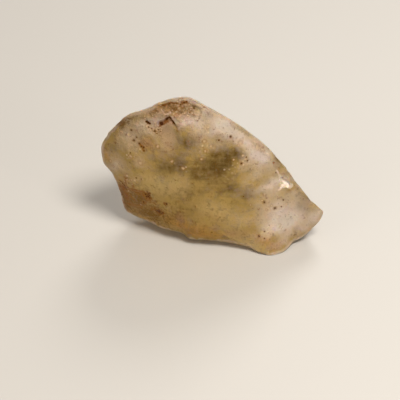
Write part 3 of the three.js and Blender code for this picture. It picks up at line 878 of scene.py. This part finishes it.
# %% [markdown]
# ## Specks and pale grains
#
# Black specks sit in the skin, each in a brown stain, and so do pale grains of sand. Many are
# smaller than the triangles, so a mask from 0 to 1 would turn them into star shapes. A distance
# changes evenly over a triangle, so we store how far each point is from the nearest speck, and
# let the material draw a round dot from it. Each mark is (across, up, half width) in mm.

# %% Specks and pale grains, as distances
SPECKS = [
    (-15.83, 10.11, 0.14), (-15.57, 9.76, 0.15), (-15.95, 8.52, 0.14), (-14.70, 9.46, 0.17),
    (-15.83, 6.37, 0.19), (-15.57, 6.01, 0.14), (-15.99, 7.17, 0.12), (-11.33, 9.81, 0.14),
    (-11.48, 8.62, 0.19), (-10.92, 8.47, 0.14), (-11.97, 7.35, 0.15), (-9.31, 6.28, 0.19),
    (-8.88, 5.50, 0.19), (-10.08, 6.14, 0.14), (-7.91, 8.12, 0.12), (-10.40, 4.01, 0.12),
    (-14.11, 8.64, 0.12), (-13.57, 9.53, 0.12), (-12.89, 8.88, 0.12), (-14.51, 10.62, 0.12),
    (-13.93, 21.67, 0.19), (-9.85, 22.30, 0.21), (-9.30, 22.68, 0.12), (-10.31, 22.58, 0.10),
    (-9.01, 22.30, 0.10), (-9.55, 21.88, 0.10), (-13.41, 19.86, 0.24), (-13.01, 20.45, 0.15),
    (-12.46, 19.30, 0.21), (-12.17, 18.97, 0.19), (-11.81, 18.85, 0.24), (-11.82, 18.31, 0.19),
    (-14.15, 17.24, 0.14), (-9.89, 22.25, 0.19), (-10.93, 22.75, 0.14), (-13.07, 12.32, 0.15),
    (-15.23, 9.50, 0.22), (-14.98, 8.61, 0.17), (-11.60, 9.00, 0.19), (-11.20, 9.44, 0.17),
    (-11.14, 8.59, 0.22), (-10.82, 9.06, 0.14), (-11.88, 7.00, 0.22), (-9.57, 5.83, 0.17),
    (-9.17, 5.74, 0.38), (-9.52, 5.85, 0.29), (-8.12, 8.37, 0.22), (-9.43, 2.91, 0.15),
    (-0.31, 3.65, 0.15), (0.96, 21.61, 0.17), (2.83, 22.07, 0.22), (4.64, 17.48, 0.22),
    (5.70, 17.62, 0.15), (5.48, 18.39, 0.12), (8.69, 9.69, 0.23), (10.54, 8.06, 0.26),
    (7.89, 3.59, 0.24), (8.66, 4.14, 0.14), (8.66, 3.15, 0.14), (12.39, 13.90, 0.26),
    (11.84, 13.13, 0.12), (5.15, 11.11, 0.12), (11.86, 9.45, 0.14), (10.62, 14.42, 0.12),
    (11.53, 8.19, 0.14), (-4.95, 28.12, 0.19), (-4.53, 28.36, 0.14), (-3.23, 27.22, 0.17),
    (-5.46, 27.75, 0.15),
]
GRAINS = [
    (-10.39, 23.83, 0.19), (-10.36, 23.32, 0.19), (-11.17, 23.00, 0.19), (-14.06, 11.54, 0.15),
    (-14.61, 8.26, 0.14), (-12.42, 6.23, 0.14), (-10.47, 23.93, 0.15), (-10.42, 23.53, 0.15),
    (-11.20, 22.90, 0.17), (-10.65, 22.97, 0.15), (-11.46, 24.31, 0.15), (-10.12, 22.43, 0.14),
    (-9.52, 22.59, 0.14), (-9.54, 22.12, 0.14), (-10.09, 21.93, 0.14), (-9.13, 22.90, 0.14),
    (-8.91, 22.57, 0.12), (-8.96, 22.03, 0.14), (-5.57, 28.64, 0.17), (-5.12, 28.74, 0.19),
    (-4.68, 28.67, 0.15), (-6.04, 28.31, 0.14), (-10.32, 23.01, 0.14), (-14.07, 16.66, 0.24),
    (-12.46, 15.81, 0.28), (-9.53, 19.90, 0.24), (-7.12, 17.68, 0.21), (-5.14, 16.85, 0.26),
    (-10.69, 23.51, 0.17), (-10.25, 23.31, 0.17), (-10.12, 22.90, 0.17), (-9.42, 22.51, 0.15),
    (-10.53, 22.32, 0.15), (-1.52, 21.89, 0.24), (-1.27, 20.29, 0.22), (-1.94, 18.81, 0.21),
    (4.54, 20.78, 0.24), (4.20, 20.37, 0.17), (3.36, 18.26, 0.17), (4.97, 18.68, 0.17),
    (-11.61, 24.74, 0.17), (-8.98, 27.06, 0.19), (-5.79, 27.09, 0.21), (-5.21, 27.46, 0.17),
    (-9.76, 23.37, 0.15), (-9.43, 22.99, 0.15), (-10.56, 23.01, 0.17), (-10.98, 23.06, 0.14),
    (-8.96, 23.02, 0.14), (-6.05, 25.45, 0.19), (-6.33, 25.79, 0.15), (-5.55, 25.01, 0.17),
    (-5.88, 24.39, 0.15), (-5.21, 25.55, 0.15), (-6.97, 26.54, 0.15), (-4.12, 27.78, 0.15),
    (-9.49, 25.75, 0.15), (-10.17, 25.07, 0.14), (-3.62, 26.47, 0.15), (-4.37, 26.06, 0.15),
    (-6.21, 26.41, 0.19), (-4.37, 27.06, 0.17), (-4.96, 26.31, 0.17), (-5.63, 25.84, 0.19),
    (-6.72, 26.22, 0.17), (-3.87, 26.95, 0.15), (-17.66, 14.04, 0.17), (-17.15, 13.15, 0.15),
    (8.26, 9.95, 0.14), (9.81, 8.71, 0.15), (8.97, 8.01, 0.14), (6.22, 9.37, 0.14),
]


def distance_to(marks):
    """How far each point is from the nearest round mark, as a share of the mark's half width."""
    near = np.full(len(points), FAR_OFF)
    for across, up, wide in marks:
        off = np.hypot(points[:, 0] - across, points[:, 2] - up) + FAR_OFF * (facing < 0.5)
        spot = points[np.argmin(off)]
        near = np.minimum(near, np.linalg.norm(points - spot, axis=1) / wide)
    return near


speck = distance_to(SPECKS)
grain = distance_to(GRAINS)
print(len(SPECKS), "dark specks and", len(GRAINS), "pale grains")

# %% [markdown]
# ## The stone as an object
#
# Now the arrays become a mesh. Filling it with foreach_set takes a fraction of a second, where
# from_pydata would need long Python lists. Each mask is stored under its name as an attribute,
# and that name is how the material will ask for it.

# %% The stone as an object
MASKS = {
    "frost": frost, "cloud": cloud, "rust": rust, "bruise": bruise, "grit": grit, "smooth": smooth,
    "rim": rim, "speck": speck, "grain": grain, "relief": relief, "glint": glint, "haze": haze,
    **tints,
}


def new_object(name, data):
    """An object with this data, put into the scene."""
    made = bpy.data.objects.new(name, data)
    bpy.context.scene.collection.objects.link(made)
    return made


mesh = bpy.data.meshes.new("stone")
mesh.vertices.add(len(points))
mesh.vertices.foreach_set("co", (points * MM).astype(np.float32).ravel())
mesh.loops.add(len(triangles) * 3)
mesh.loops.foreach_set("vertex_index", triangles.astype(np.int32).ravel())
mesh.polygons.add(len(triangles))
mesh.polygons.foreach_set("loop_start", np.arange(0, len(triangles) * 3, 3, dtype=np.int32))
mesh.update(calc_edges=True)
mesh.shade_smooth()
for name, values in MASKS.items():
    mask = mesh.attributes.new(name, "FLOAT", "POINT")
    mask.data.foreach_set("value", values.astype(np.float32))
stone = new_object("stone", mesh)
print("Stone:", len(mesh.vertices), "points,", len(mesh.polygons), "triangles,", len(MASKS), "masks")

# %% [markdown]
# ## The glass
#
# The glass is one Principled material. Its colour is a stack of layers, from the yellow glass
# inside to the last speck on top, and each layer is laid over the ones below by a mask. Well
# over a hundred nodes are slow to draw by hand and hard to follow, so small helpers make them: one
# to link or set a value, one for sums, one to read a mask, one for the place in mm, one for noise,
# one to break the edge of a mask with noise, one to turn a mask into a share of 0 to 1, and one to
# lay a colour over another.

# %% Node helpers


def new_material(name):
    """A material with nodes, and its Principled shader."""
    made = bpy.data.materials.new(name)
    made.use_nodes = True
    return made, made.node_tree.nodes["Principled BSDF"]


glass, shader = new_material("frosted natural glass")
nodes = glass.node_tree.nodes
links = glass.node_tree.links


def put(value, socket):
    """Links an output to the socket, or sets a plain number or colour on it."""
    if isinstance(value, bpy.types.NodeSocket):
        links.new(value, socket)
    else:
        socket.default_value = value


def math_node(operation, *values):
    """A Math node of these values, each a number or another node's output."""
    made = nodes.new("ShaderNodeMath")
    made.operation = operation
    for value, socket in zip(values, made.inputs):
        put(value, socket)
    return made.outputs[0]


def painted(name):
    """The mask of this name, as it was stored on the points."""
    made = nodes.new("ShaderNodeAttribute")
    made.attribute_name = name
    return made.outputs["Fac"]


def place_in_mm(size, stretch=(1, 1, 1), turn=(0, 0, 0)):
    """The stone's own coordinates, scaled so that one unit is this size in mm."""
    where = nodes.new("ShaderNodeTexCoord").outputs["Object"]
    mapping = nodes.new("ShaderNodeMapping")
    mapping.inputs["Rotation"].default_value = [math.radians(angle) for angle in turn]
    mapping.inputs["Scale"].default_value = [1 / (size * MM * share) for share in stretch]
    links.new(where, mapping.inputs["Vector"])
    return mapping.outputs[0]


def grainy(size, detail, stretch=(1, 1, 1), turn=(0, 0, 0)):
    """Noise of about -1 to 1 with lumps of this size in mm."""
    made = nodes.new("ShaderNodeTexNoise")
    made.inputs["Scale"].default_value = 1
    made.inputs["Detail"].default_value = detail
    links.new(place_in_mm(size, stretch, turn), made.inputs["Vector"])
    return math_node("MULTIPLY_ADD", made.outputs["Fac"], 3.0, -1.5)  # 0.5 becomes 0


def broken(name, *layers):
    """A painted mask with noise added, so that its edge breaks up finer than the mesh."""
    value = painted(name)
    for noise_output, share in layers:
        value = math_node("MULTIPLY_ADD", noise_output, share, value)
    return value


def ramp(value, low, high, start=0.0, end=1.0, way="SMOOTHSTEP"):
    """start below low, end above high, and between them a smooth S, or a straight line."""
    made = nodes.new("ShaderNodeMapRange")
    made.interpolation_type = way
    for number, socket in zip((value, low, high, start, end), made.inputs):
        put(number, socket)
    return made.outputs[0]


def over(colour, top, share):
    """The top colour laid over the other one by a share of 0 to 1."""
    made = nodes.new("ShaderNodeMix")
    made.data_type = "RGBA"
    put(share, made.inputs[0])
    put(colour if isinstance(colour, bpy.types.NodeSocket) else (*colour, 1), made.inputs[6])
    put((*top, 1), made.inputs[7])
    return made.outputs[2]


# %% [markdown]
# ## Beads of grit
#
# The gritty places carry grains of sand, half a millimetre apart, and some are pale and some
# dark. Cell noise has one seed point in each cell: the distance to it draws a round bead, and the
# random colour of the cell decides if it gets a bead at all. Real grains in the mesh would need
# ten times the triangles.

# %% Beads of grit
BEAD_SIZE = 0.46  # mm from bead to bead
BEAD_EDGE = (0.2, 0.6)  # all bead, and none, as shares of the way from bead to bead
PALE_CHANCE = (1.1, 1.6)  # grit mask and the cell's random number added: no bead, and a full one
DARK_CHANCE = (1.3, 1.8)
cells = nodes.new("ShaderNodeTexVoronoi")
cells.inputs["Scale"].default_value = 1
links.new(place_in_mm(BEAD_SIZE), cells.inputs["Vector"])
chance = nodes.new("ShaderNodeSeparateColor")
links.new(cells.outputs["Color"], chance.inputs[0])
bead = ramp(cells.outputs["Distance"], *BEAD_EDGE, 1, 0)
pale_chance = ramp(broken("grit", (chance.outputs[0], 1.0)), *PALE_CHANCE)
dark_chance = ramp(broken("grit", (chance.outputs[1], 1.0)), *DARK_CHANCE)
pale_bead = math_node("MULTIPLY", bead, pale_chance)
dark_bead = math_node("MULTIPLY", bead, dark_chance)
print("Beads every", BEAD_SIZE, "mm")

# %% [markdown]
# ## The colours, layer by layer
#
# The order follows the real stone: tints, painted glow, and clouds with painted shade in the glass,
# then the milky skin, then painted shade in the pits, partly dust, beads on the skin, and ridges laid
# pale, partly as a painted highlight, then the rim, partly worn and partly a painted edge highlight,
# with bruises and painted highlights and the painted glint, then rust with the painted shade under
# the lip, and specks that lie on top. Colours are linear, as Blender counts them, so they look
# darker as numbers than to the eye. Layers that are made alike stand in a list, and one function
# lays them. Two are mixed along a straight line, because their masks are broad and an S would give
# them edges.

# %% Colours
YELLOW = (0.525, 0.37, 0.11)
# Straw: the painted glow of the belly.
STRAW_GLOW = (0.755, 0.58, 0.25)
MILK = (0.97, 0.83, 0.73)
# Olive: dark clouds, partly dark melt and partly painted shade.
OLIVE = (0.080, 0.043, 0.003)
# Amber: ochre, partly the painted glow of the lower edge.
AMBER = (0.62, 0.345, 0.075)
BROWN = (0.16, 0.068, 0.0)
PINK = (0.56, 0.31, 0.16)
# Peach: bruises and painted highlights round the lip.
PEACH = (0.97, 0.76, 0.60)
RUST_TONE = (0.30, 0.085, 0.006)
# Scab: the nearly black middles of rust and specks, and of the painted shade under the lip.
SCAB = (0.05, 0.008, 0.0)
STAIN = (0.38, 0.16, 0.015)
# Painted shade in the pits and hollows, partly dust.
PIT_SHADE_BROWN = (0.16, 0.08, 0.01)
PALE = (0.92, 0.75, 0.52)
# Rim: the pale tone of the worn rim and of the painted edge highlight.
RIM_TONE_AND_HIGHLIGHT = (0.80, 0.66, 0.52)
HAZE = (0.60, 0.42, 0.27)
# Glint white: a painted highlight on the fresh facet.
GLINT_WHITE = (0.96, 0.80, 0.66)
print("The deepest glass is", YELLOW, "and the milk is", MILK)

# %% Noises
swell = grainy(3.0, 3.0)
mottle = grainy(1.3, 6.0)
sand = grainy(0.45, 4.0)
dust = grainy(0.2, 2.0)
flow = grainy(0.5, 3.0, stretch=(7, 2, 1), turn=(0, 12, 0))
print("Nodes so far:", len(nodes))

# %% Inside the glass
DEEP = [  # colour, mask, noises with their shares, the mask's value at none and at most, most
    # ochre, partly painted glow
    (AMBER, "ochre", [(mottle, 0.25)], 0.1, 1.0, 0.85),
    # painted glow
    (STRAW_GLOW, "straw", [(mottle, 0.15), (swell, 0.15)], 0.1, 1.0, 0.85),
    # clouds: partly dark melt, partly painted shade
    (OLIVE, "cloud", [(swell, 0.45), (mottle, 0.5), (sand, 0.22), (flow, 0.2)], 0, 1.1, 0.95, "LINEAR"),
    (PINK, "pink", [(mottle, 0.15), (sand, 0.15)], 0.1, 1.0, 0.85),
]


def laid(tone, layers):
    """Lays each of these layers over the tone, the first one first."""
    for colour, mask, noises, low, high, most, *way in layers:
        tone = over(tone, colour, ramp(broken(mask, *noises), low, high, 0, most, *way))
    return tone


tone = laid(YELLOW, DEEP)
print("Nodes so far:", len(nodes))

# %% The skin
SKIN = [
    (MILK, "frost", [(swell, 0.22), (mottle, 0.10), (sand, 0.15)], 0.06, 1.07, 1, "LINEAR"),
    (HAZE, "haze", [], 0.25, 0.9, 0.8),
    (BROWN, "brown", [(mottle, 0.4), (sand, 0.6), (dust, 0.4)], 0.0, 1.2, 0.92),
]
WEAR_AND_HIGHLIGHTS = [
    # rim: partly wear, partly a painted edge highlight
    (RIM_TONE_AND_HIGHLIGHT, "rim", [(swell, 0.2), (mottle, 0.15), (sand, 0.2)], 0.1, 1.0, 0.8),
    # bruise: partly bruises, partly painted highlights
    (PEACH, "bruise", [(sand, 0.35), (dust, 0.2)], 0.25, 0.8, 0.9),
    # glint: a painted highlight
    (GLINT_WHITE, "glint", [(sand, 0.2), (dust, 0.2)], 0.25, 0.8, 0.95),
]
# Ridges laid pale by their relief: partly rubbed wear, partly a painted highlight.
RUBBED_AND_LIT_RIDGES = [(MILK, "relief", [(sand, 0.6), (dust, 0.6)], 0.3, 3.0, 0.09)]
# Painted shade in the pits, partly dust: how dark by the relief, and how much by the grit mask.
PIT_DUST_AND_SHADE = (0.0, -3.0, 0, 0.45)  # the relief at no dirt and at most, and the shares that it covers
PIT_SHADE_IN_GRIT = (0.15, 0.7, 0.08, 1)  # the same for the grit mask
DARK_BEADS = 0.7  # how much of the colour below a bead hides
PALE_BEADS = 0.85
tone = laid(tone, SKIN)
# Painted shade, partly dust: the pits and hollows darkened by their relief, most in gritty places.
pit_dust_and_shade = ramp(broken("relief", (sand, -1.0), (dust, -1.0)), *PIT_DUST_AND_SHADE)
tone = over(tone, PIT_SHADE_BROWN, math_node("MULTIPLY", pit_dust_and_shade, ramp(painted("grit"), *PIT_SHADE_IN_GRIT)))
tone = laid(tone, RUBBED_AND_LIT_RIDGES)
tone = over(tone, STAIN, math_node("MULTIPLY", dark_bead, DARK_BEADS))
tone = over(tone, PALE, math_node("MULTIPLY", pale_bead, PALE_BEADS))
tone = laid(tone, WEAR_AND_HIGHLIGHTS)
print("Nodes so far:", len(nodes))

# %% Marks on the skin
GRAIN_SPOTS = [  # colour, mask of distances, noise's share, all colour and none, most
    (STAIN, "grain", 0.25, 1.2, 2.8, 0.4),
    (PALE, "grain", 0.5, 0.4, 1.5, 0.75),
]
# Rust, and the painted shade of the crescent under the lip.
RUSTED_AND_LIP_SHADE = [
    (STAIN, "rust", [(mottle, 0.2), (sand, 0.3)], 0.02, 0.5, 0.6),
    (RUST_TONE, "rust", [(mottle, 0.3), (sand, 0.7), (dust, 0.3)], 0.3, 0.8, 0.85),
    (SCAB, "rust", [(mottle, 0.25), (sand, 0.4)], 0.75, 1.1, 0.97),
]
SPECK_SPOTS = [
    (STAIN, "speck", 0.4, 0.8, 2.2, 0.6),
    (SCAB, "speck", 0.35, 0.4, 1.3, 0.95),
]


def dotted(tone, spots):
    """Lays round spots over the tone, where a mask of distances is low."""
    for colour, mask, share, low, high, most in spots:
        tone = over(tone, colour, ramp(broken(mask, (sand, share)), low, high, most, 0))
    return tone


tone = dotted(tone, GRAIN_SPOTS)
tone = laid(tone, RUSTED_AND_LIP_SHADE)
tone = dotted(tone, SPECK_SPOTS)
links.new(tone, shader.inputs["Base Color"])
print("Nodes with all the colours:", len(nodes))

# %% [markdown]
# ## How the glass takes light
#
# Light goes some way into frosted glass and comes out again beside where it went in. Half of that
# is transmission with absorption, which makes thick glass a deeper yellow than a thin edge, and
# the other half is subsurface scattering close under the skin. Full transmission would be clear
# as a bottle, and scattering alone would look like wax. The skin is rough and hardly reflects. Only
# the fresh facet has a coat of gloss, and there the bump fades out.

# %% Light in the glass
SCATTER = 0.2  # mm: how far red light creeps sideways under the skin
LIGHT = {
    "IOR": 1.46,
    "Specular IOR Level": 0.12,
    "Specular Tint": (1.0, 0.82, 0.60, 1),
    "Transmission Weight": 0.55,
    "Subsurface Weight": 1.0,
    "Subsurface Radius": (1.0, 0.7, 0.35),
    "Subsurface Scale": SCATTER * MM,
    "Coat IOR": 1.7,
    "Coat Roughness": 0.15,
}
for name, value in LIGHT.items():
    shader.inputs[name].default_value = value
print("Light scatters over", SCATTER, "mm under the skin")

# %% Gloss and bump
BUMP = 0.06  # mm
BUMP_LEFT = 0.1  # share of it on the facet
COATED = (0.8, 1.3)  # the smooth mask at no coat and at all of it, then the same for roughness
GLOSSY = (0.6, 1.3, 0.45, 0.25)  # with the roughness of the frosted skin and of the facet
MOTTLE_HEIGHT = 0.6  # against a height of 1 for the sand
DUST_HEIGHT = 0.4
links.new(ramp(painted("smooth"), *COATED), shader.inputs["Coat Weight"])
links.new(ramp(painted("smooth"), *GLOSSY), shader.inputs["Roughness"])
rough = math_node("MULTIPLY_ADD", mottle, MOTTLE_HEIGHT, sand)
rough = math_node("MULTIPLY_ADD", math_node("ADD", pale_bead, dust), DUST_HEIGHT, rough)
rough = math_node("MULTIPLY", rough, ramp(painted("smooth"), 0, 1, 1, BUMP_LEFT))
bump = nodes.new("ShaderNodeBump")
bump.inputs["Strength"].default_value = 1.0
bump.inputs["Distance"].default_value = BUMP * MM
links.new(rough, bump.inputs["Height"])
links.new(bump.outputs[0], shader.inputs["Normal"])
print("Bump:", BUMP, "mm")

# %% Absorption in thick glass
LET_THROUGH = (0.84, 0.70, 0.28)  # the colour that thick glass keeps
DENSITY = 50.0  # per metre
absorb = nodes.new("ShaderNodeVolumeAbsorption")
absorb.inputs["Color"].default_value = (*LET_THROUGH, 1)
absorb.inputs["Density"].default_value = DENSITY
links.new(absorb.outputs[0], nodes["Material Output"].inputs["Volume"])
stone.data.materials.append(glass)
print("Glass:", len(nodes), "nodes")

# %% [markdown]
# ## A pale floor
#
# The stone lies on a plain pale floor, wide enough to fill the picture. It is a single square,
# because a curved backdrop would only matter to a camera that looks along the ground. Its grey is
# warm and a little darker than paper, so that the pale shoulders of the stone still stand out.

# %% Floor
HALF = 1.5  # m
WARM_GREY = (0.50, 0.482, 0.455)
FLOOR_ROUGHNESS = 0.5
corners = [(-HALF, -HALF, 0), (HALF, -HALF, 0), (HALF, HALF, 0), (-HALF, HALF, 0)]
floor_mesh = bpy.data.meshes.new("floor")
floor_mesh.from_pydata(corners, [], [(0, 1, 2, 3)])
floor = new_object("floor", floor_mesh)
paint, floor_shader = new_material("pale floor")
floor_shader.inputs["Base Color"].default_value = (*WARM_GREY, 1)
floor_shader.inputs["Roughness"].default_value = FLOOR_ROUGHNESS
floor.data.materials.append(paint)
print("Floor:", 2 * HALF, "m wide")

# %% [markdown]
# ## Soft studio light
#
# Glass like this is shown best by one large soft lamp above and to the right, because it rounds
# the dome and leaves the lower left in its own shade. A weak fill from the left keeps that shade
# warm, a lamp behind lets the thin edges glow, and a small kicker stands just where the facet
# throws its light into the lens. A plain bright sky does the rest. Watts are few because the
# lamps stand only about half a metre away.

# %% Sky
SKY = 0.30
SKY_COLOUR = (1.0, 0.95, 0.89)
world = bpy.data.worlds.new("studio")
bpy.context.scene.world = world
world.use_nodes = True
world.node_tree.nodes["Background"].inputs["Color"].default_value = (*SKY_COLOUR, 1)
world.node_tree.nodes["Background"].inputs["Strength"].default_value = SKY
print("Sky:", SKY)

# %% Lamps
MIDDLE = (0, 0, 0.014)
FACET = (0.012, -0.008, 0.012)
WARM_WHITE = (1.0, 0.95, 0.88)
LAMPS = [  # name, place and aim in metres, width in metres, watts, colour
    ("key", (0.13, -0.20, 0.42), MIDDLE, 0.18, 2.5, WARM_WHITE),
    ("kicker", (0.247, -0.23, 0.144), FACET, 0.07, 0.09, (1.0, 0.90, 0.79)),
    ("back", (0.10, 0.36, 0.32), MIDDLE, 0.22, 0.9, WARM_WHITE),
    ("fill", (-0.45, -0.35, 0.22), MIDDLE, 0.4, 0.5, (1.0, 0.88, 0.76)),
]
for name, place, aim, wide, watts, colour in LAMPS:
    lamp = bpy.data.lights.new(name, "AREA")
    lamp.shape = "DISK"
    lamp.size = wide
    lamp.energy = watts
    lamp.color = colour
    holder = new_object(name, lamp)
    holder.location = place
    holder.rotation_euler = (Vector(aim) - Vector(place)).to_track_quat("-Z", "Y").to_euler()
print("Lamps:", [name for name, *_ in LAMPS])

# %% [markdown]
# ## Camera
#
# The camera looks down at the domed side by 35 degrees, from half a metre away through a long
# lens. A short lens from nearby would swell the near side of so small a thing. The Standard
# view keeps colours as they are, where the filmic ones would grey the yellow.

# %% Camera
LENS = 270         # mm
SENSOR = 36        # mm
LOOK_DOWN = 35     # degrees
DISTANCE = 0.5171  # m
AIM = (-0.00228, 0, 0.006)
down = math.radians(LOOK_DOWN)
camera_data = bpy.data.cameras.new("camera")
camera_data.lens = LENS
camera_data.sensor_width = SENSOR
camera = new_object("camera", camera_data)
camera.location = Vector(AIM) + DISTANCE * Vector((0, -math.cos(down), math.sin(down)))
camera.rotation_euler = (math.radians(90 - LOOK_DOWN), 0, 0)
bpy.context.scene.camera = camera
bpy.context.scene.view_settings.view_transform = "Standard"
print("Camera at", [round(value, 3) for value in camera.location], "m")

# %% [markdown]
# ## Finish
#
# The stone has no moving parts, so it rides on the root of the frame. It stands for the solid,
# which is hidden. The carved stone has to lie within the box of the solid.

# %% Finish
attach(stone, "root")
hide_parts("tektite")
